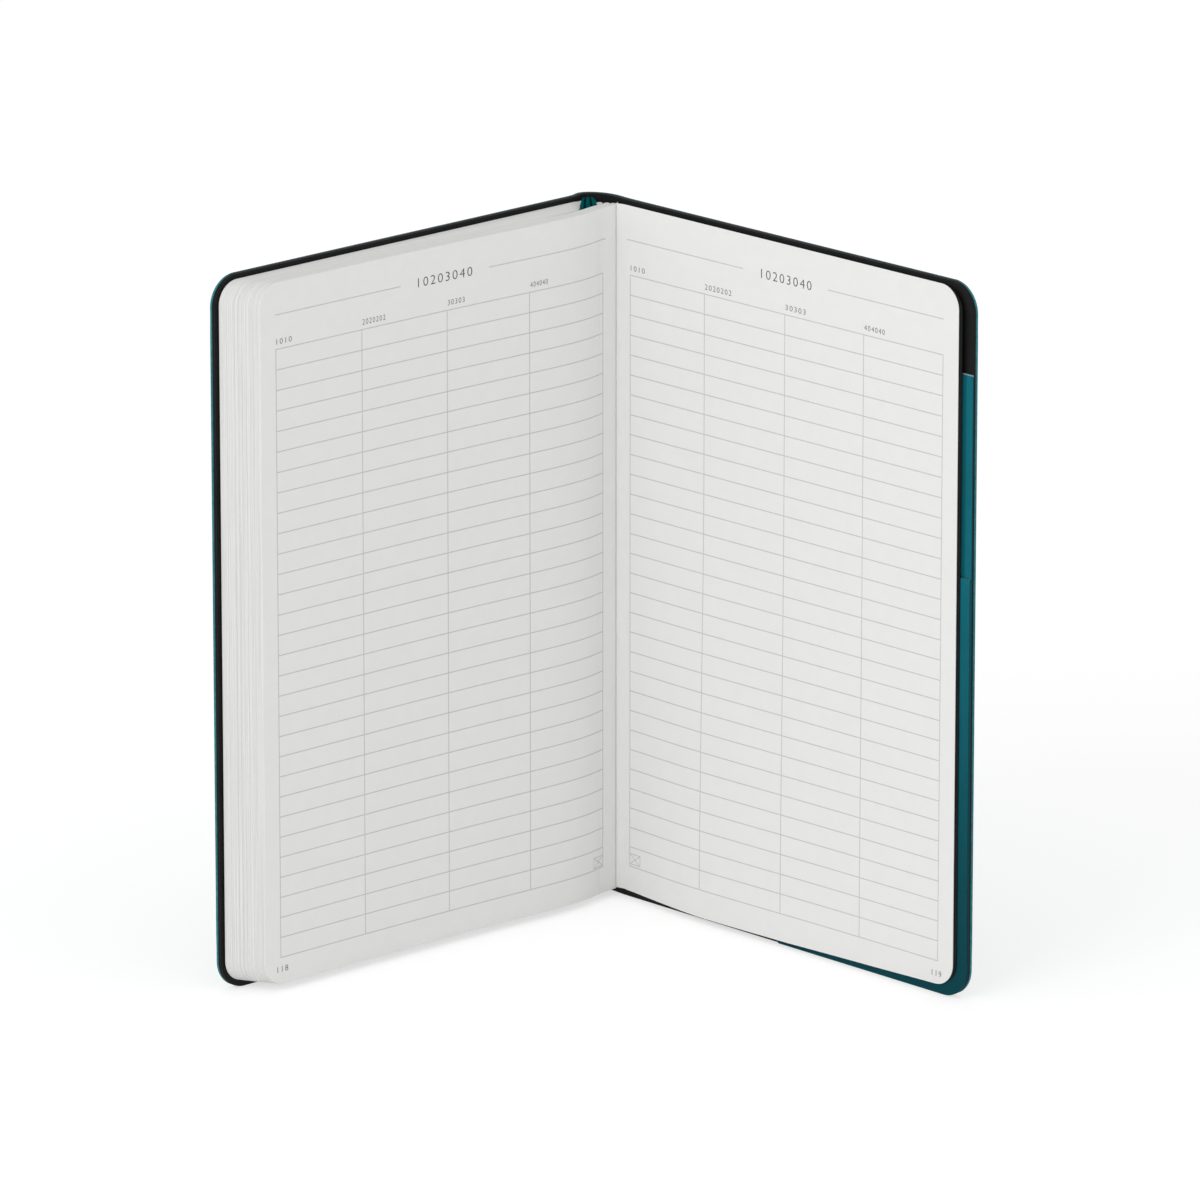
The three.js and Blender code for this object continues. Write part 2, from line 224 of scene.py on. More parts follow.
# Figures, each with its text and, in millimetres, its start, width, foot and height
LEFT_WORDS = (("10203040", 67.3, 17.5, 169.7, 2.3), ("1010", 113.0, 4.9, 163.5, 1.35),
              ("2020202", 85.3, 7.4, 163.5, 1.35), ("30303", 57.7, 5.4, 163.5, 1.35),
              ("404040", 31.2, 5.6, 163.5, 1.35), ("118", 114.4, 3.5, 5.0, 1.5))
RIGHT_WORDS = (("10203040", 51.2, 17.3, 169.3, 2.3), ("1010", 5.8, 4.9, 162.8, 1.35),
               ("2020202", 31.8, 9.2, 162.8, 1.35), ("30303", 59.6, 6.9, 162.8, 1.35),
               ("404040", 86.5, 6.9, 162.8, 1.35), ("119", 111.1, 3.2, 4.6, 1.5))

hinges = {joint["name"]: np.array(Vector(joint["pos_m"]).to_2d()) for joint in frame["joints"]}
FRONT_HINGE, BACK_HINGE = hinges["front_cover_hinge"], hinges["back_cover_hinge"]
SPINE_WIDTH = np.linalg.norm(BACK_HINGE - FRONT_HINGE)

page_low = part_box("top_leaf")[0].z
page_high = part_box("top_leaf")[1].z
cover_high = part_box("front_skin")[1].z

# Levels over each lining
flyleaf_top = STACK_GAP + LEAF
block_bottom = flyleaf_top + STACK_GAP
top_leaf_bottom = block_bottom + BLOCK_THICKNESS + STACK_GAP
top_leaf_top = top_leaf_bottom + LEAF
pocket_back_top = STACK_GAP + POCKET_CARD
gusset_bottom = pocket_back_top + STACK_GAP
gusset_top = gusset_bottom + GUSSET
pocket_front_bottom = gusset_top + STACK_GAP
pocket_front_top = pocket_front_bottom + POCKET_CARD
rear_flyleaf_bottom = pocket_front_top + STACK_GAP
rear_flyleaf_top = rear_flyleaf_bottom + LEAF
last_leaf_bottom = rear_flyleaf_top + STACK_GAP
last_leaf_top = last_leaf_bottom + LEAF

# Depths into the cover
core_from = LINING + GLUE_LINE
skin_from = core_from + CORE + GLUE_LINE
cover_thickness = skin_from + SKIN

# Other places and widths
flat_from = FOLD_LENGTH - FOLD_GAP
pocket_reach = COVER_WIDTH - POCKET_EDGE_SQUARE
ribbon_gap = RIBBON + 2 * SIGNATURE_GAP
signature_width = (BLOCK_THICKNESS - (SIGNATURES - 2) * SIGNATURE_GAP - ribbon_gap) / SIGNATURES
thread_from = FOLD_DEPTH - SPINE_GAP - THREAD
mull_from = thread_from - GLUE_LINE - MULL
root_from = mull_from - SPINE_GAP - RIBBON


def plan_frame(origin, angle, side):
    """A flat plane seen from above: s runs along it, n stands off it towards the pages."""
    cos = math.cos(math.radians(angle))
    sin = math.sin(math.radians(angle))

    def at(s, n):
        return np.stack([origin[0] + s * cos - n * side * sin, origin[1] + s * sin + n * side * cos], -1)
    return at


spine_at = plan_frame(FRONT_HINGE, SPINE_ANGLE, -1)
front_at = plan_frame(FRONT_HINGE, FRONT_ANGLE, 1)
back_at = plan_frame(BACK_HINGE, BACK_ANGLE, -1)


def at_height(point, height=0.0):
    return (float(point[0]), float(point[1]), height)


def add_object(name, data):
    thing = bpy.data.objects.new(name, data)
    bpy.context.scene.collection.objects.link(thing)
    return thing


# Camera

camera_data = bpy.data.cameras.new("camera")
camera_data.lens = LENS
camera_data.sensor_width = SENSOR
camera_data.clip_end = 30
camera = add_object("camera", camera_data)
camera.location = CAMERA_PLACE
camera.rotation_euler = (math.radians(90 - CAMERA_PITCH), 0, math.radians(CAMERA_YAW))
bpy.context.scene.camera = camera


# Mesh building

SHARP = math.radians(40)


def new_piece(name, vertices, faces, place, looks, slots=None, smooth=True):
    """One mesh with a point attribute that says where each point lies: along the sheet, up, and level."""
    mesh = bpy.data.meshes.new(name)
    mesh.from_pydata([tuple(map(float, v)) for v in vertices], [], faces)
    attribute = mesh.attributes.new("sheet_place", "FLOAT_VECTOR", "POINT")
    attribute.data.foreach_set("vector", np.asarray(place, dtype=np.float32).ravel())
    for look in looks:
        mesh.materials.append(look)
    if slots:
        mesh.polygons.foreach_set("material_index", slots)
    mesh.polygons.foreach_set("use_smooth", [smooth] * len(faces))
    mesh.validate()
    return add_object(name, mesh)


class Stack:
    """Collects standing sheets, each between two plan curves, into one mesh."""

    def __init__(self):
        self.vertices = []
        self.place = []
        self.faces = []
        self.slots = []

    def sheet(self, near, far, low, high, along, levels, rows=1, slots=(0, 0, 0), lean=None):
        """near and far are plan curves; slots holds the materials of the near face, far face and edges.

        lean(i, z) gives the plan offset of point i of both curves at height z.
        """
        low = np.broadcast_to(low, len(near))
        high = np.broadcast_to(high, len(near))
        base = len(self.vertices)
        count = len(near)
        for curve, level in ((near, levels[0]), (far, levels[1])):
            for i in range(count):
                for j in range(rows + 1):
                    z = low[i] + (high[i] - low[i]) * j / rows
                    x, y = curve[i] if lean is None else curve[i] + lean(i, z)
                    self.vertices.append((x, y, z))
                    self.place.append((along[i], z, level))
        way = near[-1] - near[0]
        flip = np.dot((way[1], -way[0]), (far - near).mean(axis=0)) > 0

        def quad(slot, *corners):
            corners = [base + (side * count + i) * (rows + 1) + j for side, i, j in corners]
            self.faces.append(corners[::-1] if flip else corners)
            self.slots.append(slot)

        last = count - 1
        for i in range(last):
            for j in range(rows):
                quad(slots[0], (0, i, j), (0, i + 1, j), (0, i + 1, j + 1), (0, i, j + 1))
                quad(slots[1], (1, i, j), (1, i, j + 1), (1, i + 1, j + 1), (1, i + 1, j))
            quad(slots[2], (0, i, 0), (1, i, 0), (1, i + 1, 0), (0, i + 1, 0))
            quad(slots[2], (0, i, rows), (0, i + 1, rows), (1, i + 1, rows), (1, i, rows))
        for j in range(rows):
            quad(slots[2], (0, 0, j), (0, 0, j + 1), (1, 0, j + 1), (1, 0, j))
            quad(slots[2], (0, last, j), (1, last, j), (1, last, j + 1), (0, last, j + 1))
        return self

    def piece(self, name, looks):
        piece = new_piece(name, self.vertices, self.faces, self.place, looks, self.slots)
        piece.data.set_sharp_from_angle(angle=SHARP)
        return piece


def round_edges(piece, width):
    """Rounds the sharp edges of a cover half, but not where it meets the other half on the spine."""
    mesh = bmesh.new()
    mesh.from_mesh(piece.data)
    place = mesh.verts.layers.float_vector["sheet_place"]
    seam = min(vertex[place].x for vertex in mesh.verts) + 0.01 * MM
    sharp = [edge for edge in mesh.edges if edge.calc_face_angle(0) > SHARP
             and not all(vertex[place].x < seam for vertex in edge.verts)]
    bmesh.ops.bevel(mesh, geom=sharp, offset=width, segments=2, profile=0.5, affect="EDGES")
    mesh.to_mesh(piece.data)
    mesh.free()
    piece.data.set_sharp_from_angle(angle=math.radians(50))


def sheet_steps(length, corner, straight, turns):
    """Distances back from the fore-edge, and the rounding-off of the corners there."""
    run = length - (length - corner) * np.arange(straight) / straight
    turn = np.pi / 2 * np.arange(turns + 1) / turns
    backs = np.concatenate([run, corner * (1 - np.sin(turn))])
    return backs, np.concatenate([np.zeros(straight), corner * (1 - np.cos(turn))])


def bezier(a, b, c, d):
    t = np.linspace(0, 1, FOLD_STEPS)[:, None]
    return (1 - t) ** 3 * a + 3 * (1 - t) ** 2 * t * b + 3 * (1 - t) * t * t * c + t ** 3 * d


def length_along(curve):
    steps = np.linalg.norm(np.diff(curve, axis=0), axis=1)
    return np.concatenate([[0], np.cumsum(steps)])


def point_along(curve, place):
    """Point of a curve at a distance from its start."""
    arcs = length_along(curve)
    return np.array([np.interp(place, arcs, curve[:, k]) for k in (0, 1)])


# Materials

def tinted(color, factor):
    return tuple(part * factor for part in color)


class NodeTree:
    """Short calls for building the nodes of a material or of the sky."""

    def __init__(self, owner):
        owner.use_nodes = True
        self.nodes = owner.node_tree.nodes
        self.links = owner.node_tree.links

    def feed(self, socket, value):
        """Links another node's output to a socket, or writes a plain value on it."""
        if isinstance(value, bpy.types.NodeSocket):
            self.links.new(value, socket)
        else:
            socket.default_value = value

    def node(self, kind, **inputs):
        """A new node; an underscore in an input's name stands for a space."""
        node = self.nodes.new(kind)
        for name, value in inputs.items():
            self.feed(node.inputs[name.replace("_", " ")], value)
        return node

    def math(self, operation, *values):
        node = self.node("ShaderNodeMath")
        node.operation = operation
        for socket, value in zip(node.inputs, values):
            self.feed(socket, value)
        return node.outputs[0]

    def largest(self, *values):
        return functools.reduce(lambda a, b: self.math("MAXIMUM", a, b), values)

    def least(self, *values):
        return functools.reduce(lambda a, b: self.math("MINIMUM", a, b), values)

    def multiply(self, a, b):
        return self.math("MULTIPLY", a, b)

    def subtract(self, a, b):
        return self.math("SUBTRACT", a, b)


class Look(NodeTree):
    """A node material with short calls for what the looks share."""

    def __init__(self, name, roughness, gloss):
        self.material = bpy.data.materials.new(name)
        super().__init__(self.material)
        self.surface("Roughness", roughness)
        self.surface("Specular IOR Level", gloss)

    def surface(self, name, value):
        self.feed(self.nodes["Principled BSDF"].inputs[name], value)

    def color(self, socket):
        self.surface("Base Color", socket)

    def bump(self, height, strength, distance):
        node = self.node("ShaderNodeBump", Height=height, Strength=strength, Distance=distance)
        self.surface("Normal", node.outputs["Normal"])

    def off(self, value, line):
        """Distance from a line."""
        return self.math("ABSOLUTE", self.subtract(value, line))

    def above(self, value, low):
        return self.math("GREATER_THAN", value, low)

    def between(self, value, low, high):
        return self.multiply(self.above(value, low), self.math("LESS_THAN", value, high))

    def wave(self, value, length):
        return self.math("SINE", self.multiply(value, 2 * math.pi / length))

    def remap(self, value, low, high, to_low=0.0, to_high=1.0):
        node = self.node("ShaderNodeMapRange", Value=value, From_Min=low, From_Max=high, To_Min=to_low,
                         To_Max=to_high)
        node.interpolation_type = "SMOOTHSTEP"
        return node.outputs["Result"]

    def mix(self, share, a, b):
        """Mixes two colours, each a node's output or three numbers."""
        node = self.node("ShaderNodeMix")
        node.data_type = "RGBA"
        self.feed(node.inputs["Factor"], share)
        sockets = [socket for socket in node.inputs if socket.type == "RGBA"]
        for socket, color in zip(sockets, (a, b)):
            self.feed(socket, (*color, 1) if isinstance(color, tuple) else color)
        return next(socket for socket in node.outputs if socket.type == "RGBA")

    def place(self):
        """The sheet's own coordinates as a vector: along, up and level."""
        attribute = self.node("ShaderNodeAttribute")
        attribute.attribute_name = "sheet_place"
        return attribute.outputs["Vector"]

    def along_and_up(self):
        split = self.node("ShaderNodeSeparateXYZ", Vector=self.place())
        return split.outputs["X"], split.outputs["Y"]

    def noise(self, scale, detail, roughness=0.55, stretch=None):
        vector = self.place()
        if stretch:
            vector = self.node("ShaderNodeMapping", Vector=vector, Scale=stretch).outputs["Vector"]
        node = self.node("ShaderNodeTexNoise", Vector=vector, Scale=scale, Detail=detail, Roughness=roughness)
        return node.outputs["Fac"]

    def clouds(self, scale, detail):
        return self.remap(self.noise(scale, detail), 0.3, 0.7)


PAPER = (0.80, 0.80, 0.79)
PAPER_SHADE = (0.74, 0.74, 0.73)
EDGE_PAPER = (0.78, 0.78, 0.77)
EDGE_SHADE = (0.68, 0.68, 0.67)
INK = (0.46, 0.46, 0.46)
DOT = (0.5, 0.5, 0.49)


def paper_color(look):
    """Uncoated paper: soft cloudy formation and short fibres."""
    cloud = look.clouds(260, 3)
    fibre = look.remap(look.noise(2600, 2, stretch=(1, 2.5, 1)), 0.62, 0.75)
    base = look.mix(cloud, PAPER, tinted(PAPER, 0.985))
    return look.mix(look.multiply(fibre, 0.25), base, PAPER_SHADE)


def paper_bump(look):
    look.bump(look.noise(1800, 3), 0.12, 0.05 * MM)


def page_paper(look):
    """Inner pages: paper with a grid of fine grey dots."""
    along, up = look.along_and_up()
    far = []
    for value in (along, up):
        cell = look.math("ROUND", look.math("DIVIDE", value, DOT_PITCH))
        far.append(look.subtract(value, look.multiply(cell, DOT_PITCH)))
    squares = look.math("ADD", look.multiply(far[0], far[0]), look.multiply(far[1], far[1]))
    dot = look.remap(look.math("SQRT", squares), 0.12 * MM, 0.26 * MM, 1.0, 0.0)
    inside = look.multiply(look.between(along, DOT_PITCH * 1.5, PAGE_WIDTH - DOT_PITCH * 0.6),
                           look.between(up, page_low + DOT_PITCH, page_high - DOT_PITCH))
    look.color(look.mix(look.multiply(dot, inside), paper_color(look), DOT))
    paper_bump(look)


def page_edges(look):
    """Cut edges of the stacked leaves: fine lines along every leaf, partly the edges' own tone and partly
    painted shade between the leaves.
    """
    leaf_line = look.noise(1.0, 2, stretch=(25, 25, 9000))
    speck = look.remap(look.noise(1.0, 3, stretch=(300, 300, 16000)), 0.55, 0.8)
    # Painted shade in part: the leaf lines darken towards EDGE_SHADE where the gaps between leaves fall.
    color = look.mix(look.remap(leaf_line, 0.32, 0.62), EDGE_SHADE, EDGE_PAPER)
    look.color(look.mix(look.multiply(speck, 0.3), color, tinted(EDGE_SHADE, 0.9)))
    look.bump(leaf_line, 0.3, 0.1 * MM)


def printed_page(look, columns, first, pitch, rule, gap, envelope):
    """Ruled table under a broken heading rule, with a small outline of an envelope at the inner corner."""
    along, up = look.along_and_up()
    columns, gap, envelope = ([number * MM for number in row] for row in (columns, gap, envelope))
    first, pitch, rule = first * MM, pitch * MM, rule * MM
    bottom = first - ROWS * pitch

    def stroke(distance):
        return look.remap(distance, 0.0, LINE / 2 + LINE_SOFT, 1.0, 0.0)

    def run(value, low, high):
        return look.between(value, low - LINE / 2, high + LINE / 2)

    row = look.math("ROUND", look.math("DIVIDE", look.subtract(up, bottom), pitch))
    row = look.least(look.largest(row, 0.0), float(ROWS))
    rows = stroke(look.off(up, look.math("MULTIPLY_ADD", row, pitch, bottom)))
    rows = look.multiply(rows, run(along, columns[0], columns[-1]))
    uprights = stroke(look.least(*[look.off(along, column) for column in columns]))
    uprights = look.multiply(uprights, run(up, bottom, first))
    broken = look.subtract(run(along, columns[0] - HEADING_OVERHANG, columns[-1]), run(along, *gap))
    heading = look.multiply(stroke(look.off(up, rule)), broken)

    half_width, half_height = ENVELOPE_HALVES
    side, rise = look.off(along, envelope[0]), look.subtract(up, envelope[1])
    outline = look.largest(look.subtract(side, half_width),
                           look.subtract(look.math("ABSOLUTE", rise), half_height))
    slope = look.multiply(side, half_height / half_width)
    flap, wing = look.subtract(slope, rise), look.math("ADD", slope, rise)
    drawn = look.least(*[look.math("ABSOLUTE", line) for line in (outline, flap, wing)])
    letter = look.multiply(stroke(drawn), look.math("LESS_THAN", outline, LINE / 2))

    ink = look.largest(rows, uprights, heading, letter)
    patchy = look.remap(look.noise(1500, 2), 0.2, 0.7, 0.75, 1.0)
    look.color(look.mix(look.multiply(ink, patchy), paper_color(look), INK))
    paper_bump(look)


def print_ink(look):
    """Small grey figures, a little patchy as offset print is."""
    patchy = look.clouds(4000, 3)
    look.color(look.mix(patchy, (0.05, 0.05, 0.05), (0.13, 0.13, 0.13)))
    look.bump(look.noise(3000, 2), 0.1, 0.02 * MM)


TEAL_SKIN = (0.01, 0.16, 0.19)
TEAL_DARK = (0.004, 0.07, 0.09)
TEAL_WORN = (0.035, 0.24, 0.26)
RIM_BLACK = (0.012, 0.012, 0.013)


def leather_grain(look):
    """Fine pebbled grain: creases between small cells, and its height."""
    cells = look.node("ShaderNodeTexVoronoi", Vector=look.place(), Scale=1500.0)
    cells.feature = "DISTANCE_TO_EDGE"
    crease = look.remap(cells.outputs["Distance"], 0.0, 0.32)
    return look.math("MULTIPLY_ADD", look.noise(4200, 4), 0.35, crease)


def cover_skin(look):
    """Leather-look skin: fine pebbled grain, faint clouding and lighter rubbed edges."""
    along, up = look.along_and_up()
    grain = leather_grain(look)
    cloud = look.clouds(55, 4)
    base = look.mix(cloud, TEAL_SKIN, tinted(TEAL_SKIN, 0.82))
    color = look.mix(look.remap(grain, 0.2, 0.75), TEAL_DARK, base)
    edge = look.largest(look.remap(up, RUBBED, 0.2 * MM),
                        look.remap(up, cover_high - RUBBED, cover_high),
                        look.remap(along, COVER_WIDTH - RUBBED, COVER_WIDTH))
    worn = look.multiply(edge, look.remap(look.noise(420, 5, 0.65), 0.42, 0.62))
    look.color(look.mix(look.multiply(worn, 0.45), color, TEAL_WORN))
    look.surface("Roughness", look.remap(look.noise(4200, 4), 0.2, 0.8, 0.42, 0.6))
    look.bump(grain, 0.45, 0.12 * MM)


def cover_rim(look):
    """Cut edge of the skin: blackened at head and foot, teal at the fore-edge and its corners."""
    along, _ = look.along_and_up()
    speck = look.remap(look.noise(900, 4), 0.35, 0.7)
    black = look.mix(speck, RIM_BLACK, tinted(RIM_BLACK, 2.2))
    teal = look.mix(speck, TEAL_SKIN, TEAL_WORN)
    bare = look.remap(along, COVER_WIDTH - COVER_CORNER, COVER_WIDTH - COVER_CORNER * 0.55)
    look.color(look.mix(bare, black, teal))
    look.bump(speck, 0.3, 0.05 * MM)


def black_sheet(look, tone, fibre_scale):
    """Dyed-through black paper or board with faint grey fibres."""
    fibre = look.remap(look.noise(fibre_scale, 4, 0.65, (1, 3, 1)), 0.5, 0.8)
    cloud = look.clouds(120, 3)
    base = look.mix(cloud, (tone, tone, tone * 1.05), (tone * 1.5, tone * 1.5, tone * 1.6))
    look.color(look.mix(look.multiply(fibre, 0.5), base, (tone * 3, tone * 3, tone * 3.1)))
    look.bump(look.noise(fibre_scale, 4), 0.25, 0.06 * MM)


CARD = (0.005, 0.135, 0.175)
# CARD_FOOT is the darker teal of the painted shade towards the foot and in the crease; it also tints the
# mottling and colours the cut edge.
CARD_FOOT = (0.002, 0.05, 0.064)
CARD_HEM = (0.42, 0.5, 0.5)
CREASE_PLACE = COVER_WIDTH - 1.9 * MM


def pocket_card(look):
    """Smooth teal card, with painted shade deepening towards the foot and along the gusset's crease, and a
    light hem along the top.
    """
    along, up = look.along_and_up()
    cloud = look.clouds(90, 4)
    fibre = look.remap(look.noise(2200, 3, stretch=(1, 2, 1)), 0.55, 0.8)
    # Painted shade: the card is coloured darker towards the foot.
    color = look.mix(look.remap(up, 0.0, POCKET_BACK_HEIGHT * 0.8), CARD_FOOT, CARD)
    color = look.mix(look.multiply(cloud, 0.16), color, CARD_FOOT)
    # Painted shade: a dark band along the gusset's crease above the mouth; the same band also dips the bump.
    crease = look.remap(look.off(along, CREASE_PLACE), 0.1 * MM, 0.7 * MM, 1, 0)
    crease = look.multiply(crease, look.above(up, POCKET_FRONT_HEIGHT))
    color = look.mix(look.multiply(crease, 0.55), color, CARD_FOOT)
    color = look.mix(look.multiply(fibre, 0.3), color, tinted(CARD, 1.5))
    points = look.remap(look.wave(along, 0.8 * MM), -0.6, 0.6, 0.25, 0.8)
    hem = look.multiply(look.above(up, POCKET_BACK_HEIGHT - POCKET_HEM), points)
    look.color(look.mix(hem, color, CARD_HEM))
    look.bump(look.subtract(look.noise(1600, 4), look.multiply(crease, 1.5)), 0.15, 0.05 * MM)


def pocket_lip(look):
    """Cut edge of the card: dark, with fine light points from just below the mouth upwards."""
    along, up = look.along_and_up()
    points = look.remap(look.wave(along, 0.9 * MM), 0.1, 0.6)
    points = look.multiply(points, look.above(up, POCKET_FRONT_HEIGHT - LIP_BELOW_MOUTH))
    look.color(look.mix(points, CARD_FOOT, (0.3, 0.42, 0.44)))
    look.bump(points, 0.4, 0.05 * MM)


def ribbon_cloth(look):
    """Satin ribbon: ribs across and fine warp along it with a painted highlight on their ridges, painted
    shade in the tucks between the pleats, and a painted highlight along the selvedge.
    """
    along, up = look.along_and_up()
    warp = look.multiply(look.wave(along, 0.18 * MM), 0.4)
    weave = look.math("MULTIPLY_ADD", look.wave(up, 0.3 * MM), 0.6, warp)
    cloud = look.clouds(300, 3)
    base = look.mix(cloud, (0.001, 0.055, 0.062), (0.001, 0.035, 0.04))
    # Weave pattern, with its ridges lifted towards a painted highlight colour.
    color = look.mix(look.remap(weave, -1.0, 1.0), base, (0.003, 0.12, 0.13))
    # Painted shade: dark lines in the tucks between the pleats, beyond the glued root.
    tuck_shade = look.remap(look.wave(along, RIBBON_WIDTH / RIBBON_PLEATS), 0.1, -0.7)
    tuck_shade = look.multiply(tuck_shade, look.remap(up, RIBBON_GLUED, RIBBON_GLUED + MM))
    color = look.mix(look.multiply(tuck_shade, 0.9), color, (0.001, 0.012, 0.014))
    side = look.least(along, look.subtract(RIBBON_WIDTH, along))
    # Painted highlight: a lighter band along both edges of the ribbon.
    selvedge_highlight = look.remap(side, 0.15 * MM, 0.45 * MM, 1, 0)
    look.color(look.mix(look.multiply(selvedge_highlight, 0.5), color, (0.02, 0.17, 0.18)))
    look.bump(weave, 0.5, 0.06 * MM)


def woven(look, thread, tone, gap_tone):
    """Plain weave or twisted thread seen close: two crossing sets of ridges."""
    along, up = look.along_and_up()
    weave = look.multiply(look.wave(up, thread), look.wave(along, thread))
    height = look.math("MULTIPLY_ADD", look.noise(3000, 3), 0.6, weave)
    look.color(look.mix(look.remap(height, -0.6, 1.0), gap_tone, tone))
    look.bump(height, 0.6, 0.1 * MM)


def material(name, roughness, gloss, paint, *numbers, **places):
    look = Look(name, roughness, gloss)
    paint(look, *numbers, **places)
    return look.material


paper = material("page_paper", 0.88, 0.3, page_paper)
edges = material("page_edges", 0.9, 0.3, page_edges)
ink = material("print_ink", 0.85, 0.3, print_ink)
skin = material("cover_skin", 0.5, 0.35, cover_skin)
rim = material("cover_rim", 0.6, 0.12, cover_rim)
board = material("cover_board", 0.75, 0.12, black_sheet, 0.006, 1400)
lining = material("cover_lining", 0.6, 0.12, black_sheet, 0.006, 2400)
black_paper = material("black_paper", 0.7, 0.12, black_sheet, 0.0055, 2000)
card = material("pocket_card", 0.65, 0.06, pocket_card)
lip = material("pocket_lip", 0.7, 0.15, pocket_lip)
ribbon_satin = material("ribbon", 0.5, 0.0, ribbon_cloth)
mull_cloth = material("mull_weave", 0.9, 0.3, woven, 0.7 * MM, (0.62, 0.58, 0.48), (0.35, 0.32, 0.26))
twist = material("sewing_twist", 0.9, 0.3, woven, 0.25 * MM, (0.8, 0.78, 0.72), (0.5, 0.48, 0.42))
left_print = material("left_page_print", 0.88, 0.3, printed_page, **LEFT_TABLE)
right_print = material("right_page_print", 0.88, 0.3, printed_page, **RIGHT_TABLE)


# Cover: each half runs from the middle of the spine round its hinge to the fore-edge

def rounded(*points):
    """Cuts the corners of an open line again and again, until it is smooth."""
    points = np.array(points)
    for _ in range(SPINE_CUTS):
        start, end = points[:-1], points[1:]
        cut = np.stack([start * 0.75 + end * 0.25, start * 0.25 + end * 0.75], axis=1).reshape(-1, 2)
        points = np.concatenate([points[:1], cut[1:-1], points[-1:]])
    return points


spine_line = rounded(front_at(BEND_RUN, 0), front_at(0, 0), FRONT_RIDGE, BACK_RIDGE, back_at(0, 0),
                     back_at(BEND_RUN, 0))
spine_length = length_along(spine_line)[-1]


def spine_point(arc, depth):
    """Point on the cover over the spine, at a distance along its inner face and a depth outward."""
    low, high = max(arc - HALF_STEP, 0), min(arc + HALF_STEP, spine_length)
    way = point_along(spine_line, high) - point_along(spine_line, low)
    way = way / np.linalg.norm(way)
    return point_along(spine_line, arc) + depth * np.array([-way[1], way[0]])


sides = {"front": (front_at, 0.0, 1), "back": (back_at, spine_length, -1)}


def cover_path(side, depth):
    """From the middle of the spine, over the ridge and the hinge, and flat out to the fore-edge."""
    at, end, _ = sides[side]
    middle = spine_length / 2
    arcs = middle + (end - middle) * np.arange(SPINE_STEPS) / SPINE_STEPS
    backs, insets = sheet_steps(COVER_WIDTH - BEND_RUN, COVER_CORNER, 40, 20)
    points = np.concatenate([[spine_point(arc, depth) for arc in arcs], at(COVER_WIDTH - backs, -depth)])
    along = np.concatenate([BEND_RUN - abs(end - arcs), COVER_WIDTH - backs])
    return points, along, np.concatenate([np.zeros(SPINE_STEPS), insets])


def cover_half(side, name, nodes, from_depth, to_depth, looks, slots, rounding):
    near, along, inset = cover_path(side, from_depth)
    far, _, _ = cover_path(side, to_depth)
    half = Stack().sheet(near, far, inset, cover_high - inset, along, (from_depth, to_depth), 24, slots)
    piece = half.piece(f"{side}_{name}", looks)
    round_edges(piece, rounding)
    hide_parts(*nodes)
    at, end, way = sides[side]
    bend_start = spine_point(end + way * (BEND_RUN + BEND_BEFORE), 0)
    at_height(at(BEND_AFTER, 0))
    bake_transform(piece)


board_from = core_from - GLUE_LINE / 2
board_to = skin_from - SKIN_WRAP
for side in sides:
    cover_half(side, "cover_skin", (f"{side}_skin", f"{side}_joint", "spine_skin"), board_to,
               cover_thickness, [skin, rim], (1, 0, 1), SKIN_ROUND)
    cover_half(side, "cover_board", (f"{side}_board", "spine_inlay"), board_from, board_to,
               [board], (0, 0, 0), BOARD_ROUND)
    cover_half(side, "cover_lining", (f"{side}_lining", "spine_lining"), 0.0, board_from,
               [lining], (0, 0, 0), LINING_ROUND)


# Sewn block

def block_share(s):
    past = (s - FOLD_LENGTH) / SWELL_REACH
    swell = BLOCK_SWELL * past * np.exp(1 - past)
    pinch = FORE_EDGE_PINCH * (s - FOLD_LENGTH) / PAGE_WIDTH
    return 1 + (swell - pinch) / BLOCK_THICKNESS


def stack_level(level, s):
    return block_bottom + (level - block_bottom) * block_share(s)


def fold_curve(level):
    """From the sewing to where the flat leaf starts."""
    along = FOLD_MARGIN + level - block_bottom
    depth = FOLD_DEPTH + signature_width / 2
    start = spine_at(along, depth)
    end = front_at(flat_from, level)
    reach = np.linalg.norm(end - start) / 3
    climb = (level - block_bottom) / BLOCK_THICKNESS * BLOCK_SWELL * math.e / SWELL_REACH
    arrive = front_at(flat_from - reach, level - climb * reach)
    return bezier(start, spine_at(along, depth + reach * 0.5), arrive, end)


def signature_levels(number):
    past = ribbon_gap - SIGNATURE_GAP if number > RIBBON_SIGNATURE else 0
    bottom = block_bottom + (number - 1) * (signature_width + SIGNATURE_GAP) + past
    return bottom, bottom + signature_width


def fold_reach(level):
    return length_along(fold_curve(level))[-1]


def closed_level(level, s, span, room):
    """Signatures lie apart at their folds and close up on each other towards the fore-edge."""
    share = np.clip((s - CLOSING_FROM) / CLOSING_REACH, 0, 1)
    place = (level - span[0]) / (span[1] - span[0])
    return level + share * share * (3 - 2 * share) * (room[1] * place - room[0] * (1 - place))


def add_leaf(stack, bottom, top, slots, rows=1, trim=0.0, lift=0.0, span=(0, 1), room=(0, 0)):
    """Flat part of a leaf on the front cover, from its fold to the fore-edge."""
    fold = fold_reach(bottom)
    flat = PAGE_WIDTH - fold + trim
    backs, insets = sheet_steps(flat, PAGE_CORNER, 30, 12)
    s = flat_from + (flat - backs) * (flat + FOLD_GAP) / flat
    shift = (fold - fold_reach(top)) * (s - flat_from) / PAGE_WIDTH
    near = front_at(s, stack_level(closed_level(bottom, s, span, room), s))
    far = front_at(s + shift, stack_level(closed_level(top, s, span, room), s + shift))
    return stack.sheet(near, far, page_low + insets + lift, page_high - insets + lift, fold + s - flat_from,
                       (bottom, top), rows, slots)


outward = spine_at(0, -1) - spine_at(0, 0)


